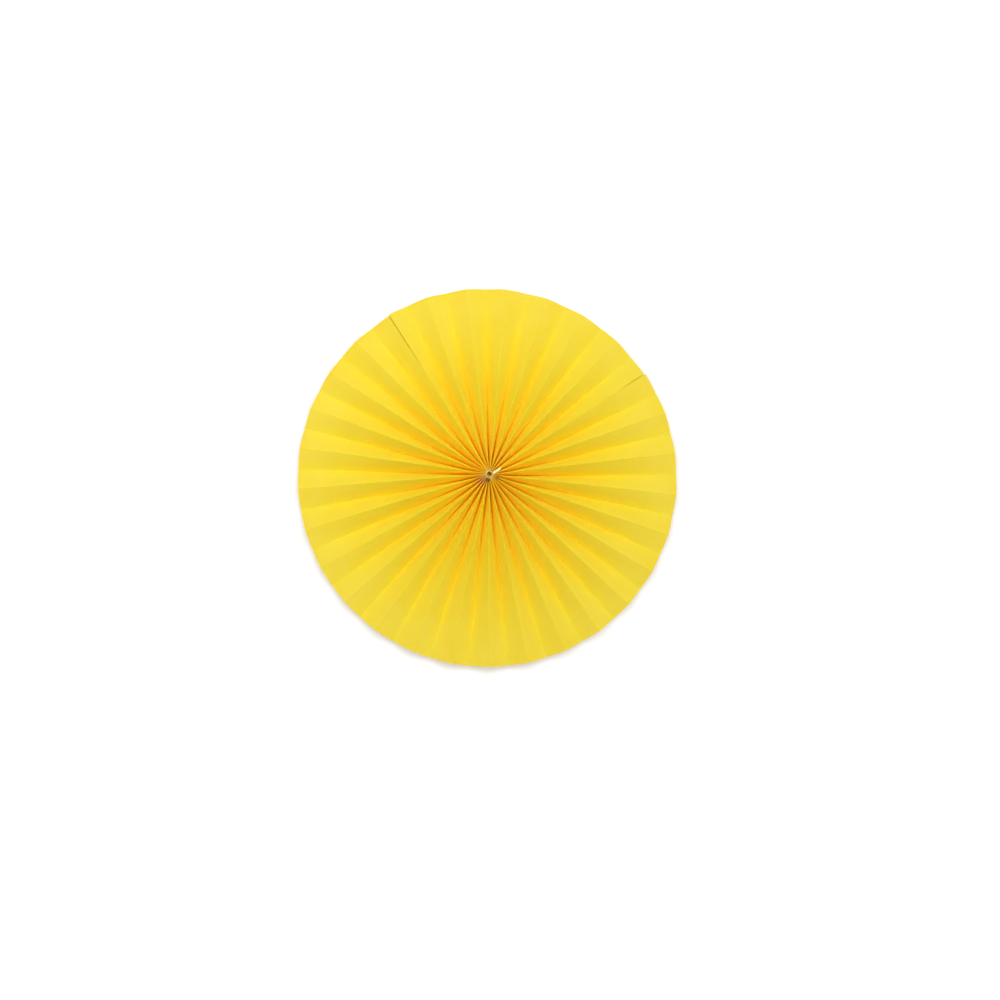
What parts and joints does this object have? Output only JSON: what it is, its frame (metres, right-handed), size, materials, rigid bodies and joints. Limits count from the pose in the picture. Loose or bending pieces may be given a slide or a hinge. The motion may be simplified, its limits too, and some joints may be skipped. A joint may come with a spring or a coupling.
{
  "type": "paper fan rosette",
  "caption": "Round decorative rosette of pleated yellow paper: two strips folded into narrow radial pleats, joined end to end and drawn together at a small central hole.",
  "frame": {"origin": "on the axis of the circle, at the back of the hub, level with the lowest folds", "axes": "+Z along the axis of the circle, out of the front; the rosette lies flat on its back; +X to the right and +Y up as seen from the front"},
  "size_m": [0.3499, 0.35, 0.0207],
  "materials": {
    "yellow_paper": "matte uncoated paper, dyed through, with crisp folds",
    "white_tape": "white paper backing, matte",
    "white_thread": "twisted cotton thread, matte"
  },
  "bodies": {
    "root": {"pleated_sheet_long": "yellow_paper", "pleated_sheet_short": "yellow_paper", "closing_tape": "white_tape", "binding_thread": "white_thread"}
  },
  "joints": []
}
